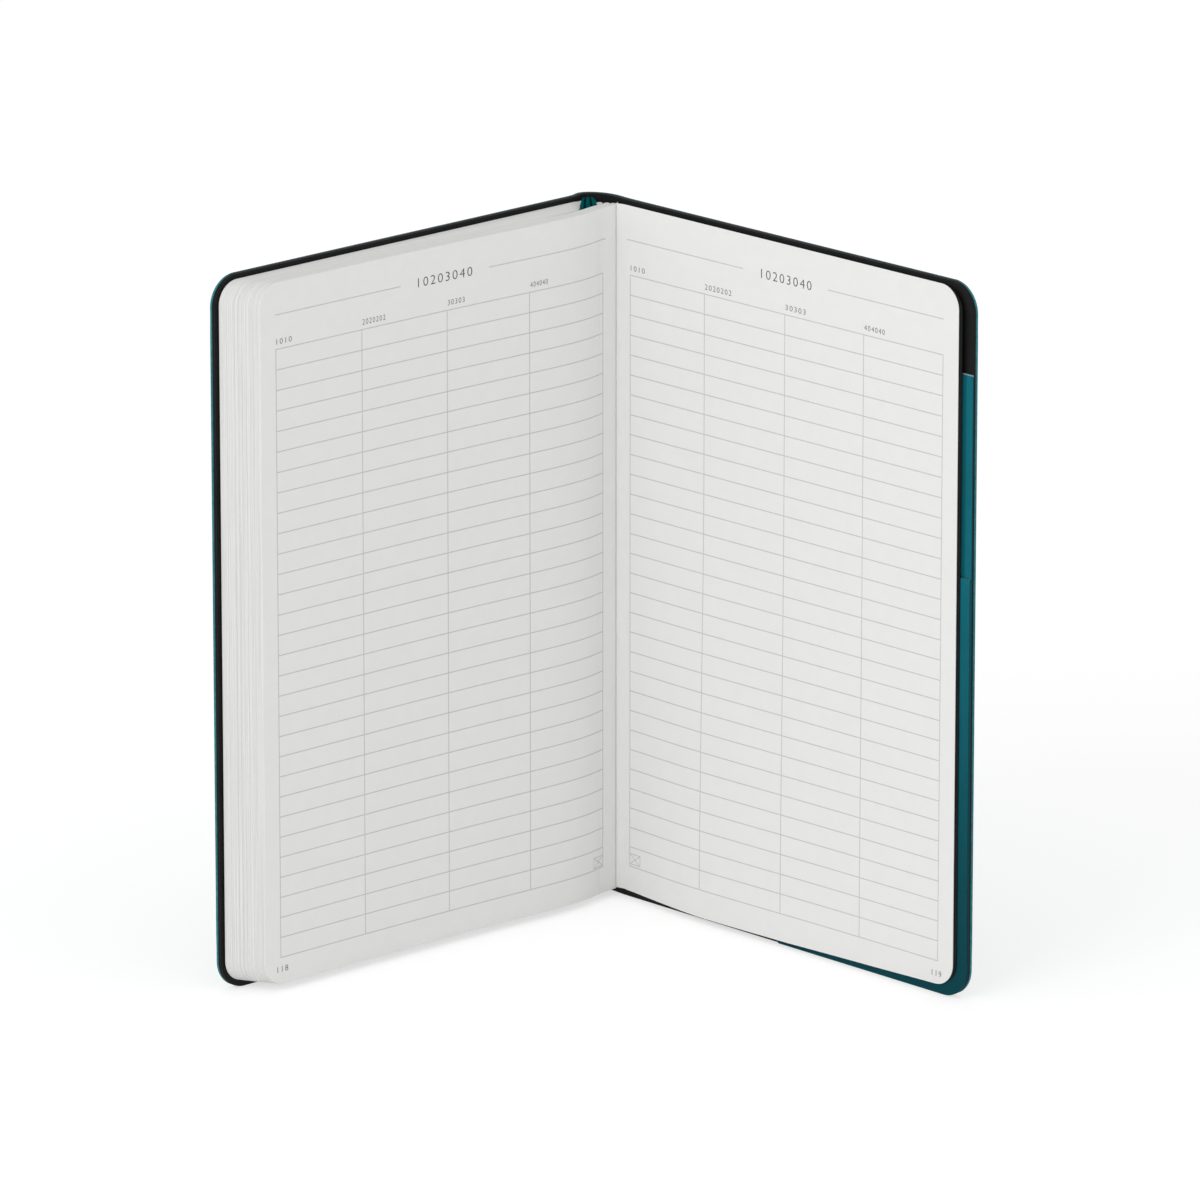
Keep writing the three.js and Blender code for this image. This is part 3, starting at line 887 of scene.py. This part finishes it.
def fold_side(low_level, high_level, bulge):
    """Down one leaf to the sewing, round the back of the fold and up the other leaf."""
    low = fold_curve(low_level)[::-1]
    high = fold_curve(high_level)
    middle = (low[-1] + high[0]) / 2
    across = (high[0] - low[-1]) / 2
    turns = [math.pi * i / 7 for i in range(1, 7)]
    bow = [middle - across * math.cos(t) + outward * bulge * math.sin(t) for t in turns]
    return np.concatenate([low, bow, high])


def add_fold(stack, low, high, bulge, leaf, top_leaf, lift, slots):
    outer = fold_side(low, high, bulge)
    inner = fold_side(low + leaf, high - top_leaf, max(bulge - leaf, 0.01 * MM))
    lengths = length_along(outer)
    along = lengths - lengths[-1] + fold_reach(high)
    stack.sheet(outer, inner, page_low + lift, page_high + lift, along, (low, high), 1, slots)


scatter = random.Random(7)
block_turn = dict(start=at_height(front_at(FOLD_LENGTH, top_leaf_bottom)),
                  end=at_height(front_at(FOLD_LENGTH + TURN_REACH, top_leaf_bottom)))

for number in range(1, SIGNATURES + 1):
    bottom, top = signature_levels(number)
    leaf = signature_width / (2 * SHEETS)
    thin = leaf * LEAF_SHARE
    folds = Stack()
    leaves = Stack()
    shift = scatter.uniform(-1, 1) * SIGNATURE_JITTER
    below = ribbon_gap / 2 if number == RIBBON_SIGNATURE + 1 else SIGNATURE_GAP / 2
    above = {RIBBON_SIGNATURE: ribbon_gap / 2, SIGNATURES: STACK_GAP * 0.9}.get(number, SIGNATURE_GAP / 2)
    for sheet in range(SHEETS):
        lift = scatter.uniform(-1, 1) * HEAD_JITTER
        low = bottom + sheet * leaf
        high = top - sheet * leaf
        bulge = signature_width / 2 - sheet * leaf
        if number == SIGNATURES and sheet == 0:
            add_fold(folds, low, top_leaf_top, bulge, thin, LEAF, 0.0, (2, 0, 1))
        else:
            add_fold(folds, low, high, bulge, thin, thin, lift, (0, 0, 1))
        for level in (low, high - thin):
            cut = shift + scatter.uniform(-1, 1) * TRIM_JITTER
            add_leaf(leaves, level, level + thin, (0, 0, 1), 1, cut, lift, (bottom, top), (below, above))
    fold = folds.piece(f"sewn_fold_{number}", [paper, edges, left_print])
    slab = leaves.piece(f"signature_leaves_{number}", [paper, edges])
    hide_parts(f"signature_fold_{number}")
    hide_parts(f"signature_{number}")
    at_height(spine_at(SPINE_WIDTH * 0.5, FOLD_DEPTH))
    at_height(front_at(flat_from, bottom))
    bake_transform(fold)
    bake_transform(slab)

flyleaf = add_leaf(Stack(), STACK_GAP, flyleaf_top, (0, 0, 0), 8).piece("front_black_flyleaf", [black_paper])
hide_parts("front_flyleaf")
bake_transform(flyleaf)

top = add_leaf(Stack(), top_leaf_bottom, top_leaf_top, (0, 2, 1), 30)
top = top.piece("open_left_leaf", [paper, edges, left_print])
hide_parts("top_leaf")
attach(top, "top_leaf")


# Mull and sewing thread over the backs of the folds

def along_spine(start, end, depth, count, wave):
    """A line over the backs of the folds, and the place of each of its points along the spine."""
    places = np.linspace(start, end, count)
    turns = math.pi * (places - FOLD_MARGIN) / (signature_width + SIGNATURE_GAP)
    return spine_at(places, depth + wave * np.abs(np.sin(turns))), places


near, places = along_spine(FRONT_MARGIN, SPINE_WIDTH - MULL_MARGIN, mull_from, 60, MULL_WAVE)
far, _ = along_spine(FRONT_MARGIN, SPINE_WIDTH - MULL_MARGIN, mull_from + MULL, 60, MULL_WAVE)
mull = Stack().sheet(near, far, page_low + MULL_SQUARE, page_high - MULL_SQUARE, places, (0, MULL), 60)
mull = mull.piece("mull_cloth", [mull_cloth])
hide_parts("mull")
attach(mull, "spine")


def twisted_thread(name, node, height):
    """Two plies wound round each other across the backs of the folds, dipping between the signatures."""
    line, places = along_spine(FRONT_MARGIN + 0.1 * MM, SPINE_WIDTH - THREAD_MARGIN - 0.1 * MM,
                               thread_from + THREAD / 2 - THREAD_WAVE, 90, THREAD_WAVE)
    ply = THREAD / 4
    vertices, faces, place = [], [], []
    for strand in (0, 1):
        base = len(vertices)
        for point, run in zip(line, places):
            turn = 2 * math.pi * run / THREAD_TWIST + math.pi * strand
            core = point + outward * ply * math.cos(turn)
            for k in range(PLY_SIDES):
                spin = 2 * math.pi * k / PLY_SIDES
                x, y = core + outward * ply * math.cos(spin)
                vertices.append((x, y, height + ply * (math.sin(turn) + math.sin(spin))))
                place.append((run, ply * spin, 0))
        last = base + PLY_SIDES * (len(line) - 1)
        for ring in range(base, last, PLY_SIDES):
            for k in range(PLY_SIDES):
                a, b = ring + k, ring + (k + 1) % PLY_SIDES
                faces.append((a, b, b + PLY_SIDES, a + PLY_SIDES))
        faces.append(tuple(base + k for k in reversed(range(PLY_SIDES))))
        faces.append(tuple(last + k for k in range(PLY_SIDES)))
    piece = new_piece(name, vertices, faces, place, [twist])
    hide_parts(node)
    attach(piece, "spine")


for number in range(1, SEWING_STATIONS + 1):
    run = page_high - page_low - 2 * STATION_INSET
    height = page_low + STATION_INSET + run * (number - 1) / (SEWING_STATIONS - 1) + THREAD / 2
    twisted_thread(f"sewing_thread_{number}", f"sewing_link_{number}", height)


# Ribbon: up the hollow of the spine, over the head of the folds in soft pleats, down between two signatures

ribbon_level = signature_levels(RIBBON_SIGNATURE)[1] + SIGNATURE_GAP + RIBBON / 2
ribbon_fold = fold_curve(ribbon_level)
ribbon_fold_length = fold_reach(ribbon_level)
ribbon_tail_drop = page_high - RIBBON_END


def ribbon_tail_at(u):
    """Plan point between the two signatures, from beside the sewing outwards."""
    arc = RIBBON_INSET + RIBBON_WIDTH * (1 - u)
    if arc < ribbon_fold_length:
        return point_along(ribbon_fold, arc)
    s = flat_from + arc - ribbon_fold_length
    return front_at(s, stack_level(ribbon_level, s))


def ribbon_point(u, v, low):
    """u across the ribbon; v from 0 at the root to 1 at the tail over the arch; low is the drop below it."""
    spread = np.interp(low, [0, RIBBON_GATHER], [0, 1]) if v == 0 else 0.0
    flat = spine_at(SPINE_WIDTH - ROOT_MARGIN - RIBBON_WIDTH * (1 - u), root_from + RIBBON / 2)
    pleat = math.sin(2 * math.pi * RIBBON_PLEATS * u)
    gathered = spine_at(RIBBON_NECK_PLACE + RIBBON_NECK * u, RIBBON_NECK_DEPTH + pleat * RIBBON_TUCK)
    root = gathered + (flat - gathered) * spread
    share = (1 - math.cos(math.pi * v)) / 2
    x, y = root + (ribbon_tail_at(u) - root) * share
    rise = math.sin(math.pi * v)
    crown = RIBBON_ARCH * rise * (1 - RIBBON_ARCH_FALL * (2 * u - 1) ** 2)
    return (x, y, page_high + RIBBON_CLEAR + crown + pleat * RIBBON_PLEAT * rise - low)


def ribbon_part(name, steps):
    """A length of ribbon through steps of v, the drop below the arch and the place along the ribbon."""
    vertices, faces, place = [], [], []
    across = RIBBON_SIDE_STEPS
    for i, (v, low, run) in enumerate(steps):
        for k in range(across + 1):
            vertices.append(ribbon_point(k / across, v, low))
            place.append((RIBBON_WIDTH * k / across, run, 0))
            if i and k:
                a = i * (across + 1) + k
                faces.append((a, a - 1, a - across - 2, a - across - 1))
    piece = new_piece(name, vertices, faces, place, [ribbon_satin])
    solid = piece.modifiers.new("thickness", "SOLIDIFY")
    solid.thickness = RIBBON * 0.8
    solid.offset = 0
    bpy.context.view_layer.objects.active = piece
    bpy.ops.object.modifier_apply(modifier=solid.name)
    piece.data.set_sharp_from_angle(angle=math.radians(60))
    return piece


def arch_step(v):
    return v, 0, RIBBON_GLUED + RIBBON_ARCH_RUN * v


root_steps = [(0, RIBBON_GLUED * (1 - i / 40), RIBBON_GLUED * i / 40) for i in range(40)]
root_steps += [arch_step(RIBBON_CREST * i / 14) for i in range(15)]
tail_steps = [arch_step(RIBBON_CREST + (1 - RIBBON_CREST) * i / 18) for i in range(19)]
for i in range(1, 41):
    drop = ribbon_tail_drop * i / 40
    tail_steps.append((1, drop, RIBBON_GLUED + RIBBON_ARCH_RUN + drop))
ribbon_root = ribbon_part("ribbon_root_and_crest", root_steps)
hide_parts("ribbon_root", "ribbon_arch")
ribbon_point(0.5, 0, 0)
ribbon_point(0.5, RIBBON_CREST, 0)
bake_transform(ribbon_root)
ribbon_tail = ribbon_part("ribbon_tail_strip", tail_steps)
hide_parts("ribbon_tail")
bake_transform(ribbon_tail)


# Right-hand leaves

top_fold_along = FOLD_MARGIN + top_leaf_top - block_bottom


def last_fold_curve(level):
    """The last leaf runs up against the top leaf's fold, then turns sharply to its own page."""
    along = top_fold_along + FINE_GAP + last_leaf_top - level
    turn = spine_at(along, LAST_TURN)
    end = back_at(flat_from, level)
    reach = np.linalg.norm(end - turn) / 2
    arrive = back_at(flat_from - reach, level)
    curve = bezier(turn, spine_at(along, LAST_TURN + LAST_TURN_HANDLE), arrive, end)
    return np.concatenate([[spine_at(along, FOLD_DEPTH)], curve])


last_fold = last_fold_curve(last_leaf_top)
last_fold_arcs = length_along(last_fold)
last_fold_length = last_fold_arcs[-1]
last_reach = FOLD_LENGTH + PAGE_WIDTH - last_fold_length
last_high = page_high + LAST_HEAD


def foot(s):
    """Height of the last leaf's foot, which is cut a little out of square."""
    return page_low + np.interp(s, np.array(FOOT_PLACES) * MM, np.array(FOOT_LIFTS) * MM)


def sag(s, height):
    """How far the last leaf stands forward of flat."""
    past = max(s - FOLD_LENGTH, 0) / (SAG_PLACE - FOLD_LENGTH)
    fade = max(1 - height / SAG_HEIGHT, 0)
    return SAG * (past * math.exp(1 - past)) ** 2.5 * fade * fade * (3 - 2 * fade)


fold = Stack().sheet(last_fold_curve(last_leaf_bottom), last_fold, foot(0), last_high, last_fold_arcs,
                     (last_leaf_bottom, last_leaf_top), 24, (0, 2, 1))
fold = fold.piece("open_right_fold", [paper, edges, right_print])
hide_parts("last_leaf_fold")
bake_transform(fold)


def back_leaf(name, node, bottom, top, reach, lift, high, looks, slots, lean=False):
    """Flat part of a leaf on the back cover, from its fold to the fore-edge."""
    backs, insets = sheet_steps(reach - flat_from, PAGE_CORNER, 60, 16)
    s = reach - backs
    toward = back_at(0, 1) - back_at(0, 0)
    push = (lambda i, z: toward * sag(s[i], z)) if lean else None
    leaf = Stack().sheet(back_at(s, bottom), back_at(s, top), foot(s) + lift + insets, high - insets,
                         last_fold_length + s - flat_from, (bottom, top), 40, slots, push)
    piece = leaf.piece(name, looks)
    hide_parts(node)
    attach(piece, node)


back_leaf("open_right_leaf", "last_leaf", last_leaf_bottom, last_leaf_top, last_reach, 0.0, last_high,
          [paper, edges, right_print], (0, 2, 1), True)
back_leaf("rear_black_flyleaf", "rear_flyleaf", rear_flyleaf_bottom, rear_flyleaf_top,
          last_reach + FLYLEAF_SQUARE, FLYLEAF_LIFT, page_high, [black_paper], (0, 0, 0))

turns = np.linspace(0, 1, 12)
places = STACK_GAP + (flat_from - STACK_GAP) * turns
rise = STACK_GAP + (rear_flyleaf_bottom - STACK_GAP) * (1 - np.cos(np.pi * turns)) / 2
near, far = back_at(places, rise), back_at(places, rise + LEAF)
joint = Stack().sheet(near, far, page_low, page_high, places, (0, LEAF), 20)
joint = joint.piece("rear_flyleaf_strip", [black_paper])
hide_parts("rear_flyleaf_joint")
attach(joint, "back_cover")


# Pocket: back panel, seam, two folded gussets and a front panel with a soft dip in its mouth

def pocket_piece(name, node, s, bottom, top, low, high, rows, slots=(0, 0, 0)):
    sheet = Stack().sheet(back_at(s, bottom), back_at(s, top), low, high, s, (bottom, top), rows, slots)
    piece = sheet.piece(name, [card, lip])
    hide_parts(node)
    return piece


backs, insets = sheet_steps(pocket_reach - POCKET_SEAM - POCKET_CHAMFER, COVER_CORNER, 40, 16)
panel_s = np.concatenate([[POCKET_SEAM, POCKET_SEAM + POCKET_CHAMFER * 0.5], pocket_reach - backs])
panel_low = POCKET_TAIL_SQUARE + np.concatenate([[POCKET_CHAMFER, POCKET_CHAMFER * 0.3], insets])
panel = pocket_piece("pocket_back_panel", "pocket_back", panel_s, STACK_GAP, pocket_back_top, panel_low,
                     POCKET_BACK_HEIGHT, 30, (0, 0, 1))
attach(panel, "back_cover")
dip = POCKET_MOUTH_DIP * np.sin(np.pi * (panel_s - POCKET_SEAM) / (pocket_reach - POCKET_SEAM)) ** 2
front = pocket_piece("pocket_front_panel", "pocket_front", panel_s, pocket_front_bottom, pocket_front_top,
                     panel_low, POCKET_FRONT_HEIGHT - dip, 20, (0, 0, 1))
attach(front, "pocket_panel")
seam_s = np.linspace(POCKET_SEAM, POCKET_SEAM + SEAM_WIDTH, 5)
seam = pocket_piece("pocket_glued_seam", "pocket_seam", seam_s, gusset_bottom, gusset_top,
                    POCKET_TAIL_SQUARE + POCKET_CHAMFER, POCKET_FRONT_HEIGHT - SEAM_DROP, 20)
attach(seam, "back_cover")

backs, insets = sheet_steps(GUSSET_WIDTH, COVER_CORNER, 1, 16)
side_s, side_low = pocket_reach - backs[1:], POCKET_TAIL_SQUARE + insets[1:]
half = GUSSET * GUSSET_SHARE
strip_s = np.linspace(POCKET_SEAM + SEAM_WIDTH + STACK_GAP, pocket_reach - GUSSET_WIDTH - STACK_GAP, 12)
strip_low = POCKET_TAIL_SQUARE + STACK_GAP
far_point = back_at(pocket_reach - 2 * GUSSET_WIDTH, gusset_bottom)
rim_point = back_at(pocket_reach, gusset_bottom)
for name, bottom, flip in (("inner", gusset_bottom, False), ("outer", gusset_top - half, True)):
    side_high = POCKET_FRONT_HEIGHT - MOUTH_DROP if flip else POCKET_BACK_HEIGHT - GUSSET_DROP
    side = pocket_piece(f"pocket_side_gusset_{name}", "pocket_side_gusset", side_s, bottom, bottom + half,
                        side_low, side_high, 20)
    ends = [at_height(rim_point), at_height(far_point)]
    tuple(ends[flip])
    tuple(ends[1 - flip])
    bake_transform(side)
    strip = pocket_piece(f"pocket_bottom_gusset_{name}", "pocket_bottom_gusset", strip_s, bottom,
                         bottom + half, strip_low, strip_low + GUSSET_WIDTH, 8)
    ends = [at_height(rim_point, strip_low), at_height(rim_point, strip_low + 2 * GUSSET_WIDTH)]
    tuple(ends[flip])
    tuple(ends[1 - flip])
    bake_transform(strip)


# Printed figures in place of headings and page numbers

def left_surface(along, height):
    s = along - fold_reach(top_leaf_top) + flat_from
    return at_height(front_at(s, stack_level(top_leaf_top, s) + FINE_GAP), height)


def right_surface(along, height):
    s = along - last_fold_length + flat_from
    return at_height(back_at(s, last_leaf_top + sag(s, height) + FINE_GAP), height)


def figures(name, words, surface, way, body):
    """Thin printed numbers laid on a page, running along it one way (1) or the other (-1)."""
    vertices, faces, place = [], [], []
    for text, start, width, foot, height in words:
        curve = bpy.data.curves.new(name, "FONT")
        curve.body = text
        curve.space_character = LETTER_SPACE
        curve.offset = LETTER_THIN
        curve.resolution_u = 3
        holder = add_object(name, curve)
        bpy.context.view_layer.update()
        flat = bpy.data.meshes.new_from_object(holder.evaluated_get(bpy.context.evaluated_depsgraph_get()))
        outline = np.array([vertex.co[:2] for vertex in flat.vertices])
        outline = (outline - outline.min(axis=0)) / (outline.max(axis=0) - outline.min(axis=0))
        base = len(vertices)
        for x, y in outline:
            along = (start + way * x * width) * MM
            up = (foot + y * height) * MM
            vertices.append(surface(along, up))
            place.append((along, up, 0))
        faces += [tuple(base + i for i in polygon.vertices) for polygon in flat.polygons]
        bpy.data.objects.remove(holder)
        bpy.data.curves.remove(curve)
        bpy.data.meshes.remove(flat)
    piece = new_piece(name, vertices, faces, place, [ink], smooth=False)
    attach(piece, body)


figures("left_page_figures", LEFT_WORDS, left_surface, -1, "top_leaf")
figures("right_page_figures", RIGHT_WORDS, right_surface, 1, "last_leaf")


# Stage and light

def seen_directly(tree):
    """1 where the eye, a reflection or a view through something sees the surface, else 0."""
    rays = tree.node("ShaderNodeLightPath").outputs
    return tree.largest(*[rays[f"Is {kind} Ray"] for kind in ("Camera", "Glossy", "Transmission")])


def floor_paint(look):
    """Matt white sheet; seen directly it is lifted to white, and keeps its shadows."""
    seen = seen_directly(look)
    look.color(look.mix(seen, (FLOOR_TONE,) * 3, (FLOOR_SEEN,) * 3))
    look.surface("Emission Color", WHITE)
    look.surface("Emission Strength", look.multiply(seen, FLOOR_LIFT))


def white_floor():
    corners = [(x * FLOOR_SIZE, y * FLOOR_SIZE, 0) for x, y in ((-1, -1), (1, -1), (1, 1), (-1, 1))]
    mesh = bpy.data.meshes.new("floor")
    mesh.from_pydata(corners, [], [(0, 1, 2, 3)])
    mesh.materials.append(material("floor", 1.0, 0.0, floor_paint))
    floor = add_object("floor", mesh)


def sky():
    """Soft white surround, weaker overhead, and plain white where it is seen directly."""
    world = bpy.data.worlds.new("sky")
    bpy.context.scene.world = world
    tree = NodeTree(world)
    coordinates = tree.node("ShaderNodeTexCoord").outputs["Generated"]
    up = tree.node("ShaderNodeSeparateXYZ", Vector=coordinates).outputs["Z"]
    level = tree.node("ShaderNodeMapRange", Value=up, From_Min=SKY_FROM, From_Max=SKY_TO, To_Min=SKY_LOW,
                      To_Max=SKY_TOP)
    light = tree.nodes["Background"]
    tree.feed(light.inputs["Color"], WHITE)
    tree.feed(light.inputs["Strength"], level.outputs["Result"])
    white = tree.node("ShaderNodeBackground", Color=WHITE, Strength=1.0)
    choice = tree.node("ShaderNodeMixShader", Fac=seen_directly(tree))
    for socket, shader in zip(choice.inputs[1:], (light, white)):
        tree.feed(socket, shader.outputs[0])
    tree.feed(tree.nodes["World Output"].inputs["Surface"], choice.outputs[0])


def key_lamp():
    data = bpy.data.lights.new("key", "AREA")
    data.size = KEY_SIZE
    data.energy = KEY_POWER
    lamp = add_object("key", data)
    lamp.location = KEY_PLACE
    lamp.rotation_euler = (Vector(KEY_TARGET) - Vector(KEY_PLACE)).to_track_quat("-Z", "Y").to_euler()


white_floor()
sky()
key_lamp()

bpy.context.scene.view_settings.view_transform = "Standard"
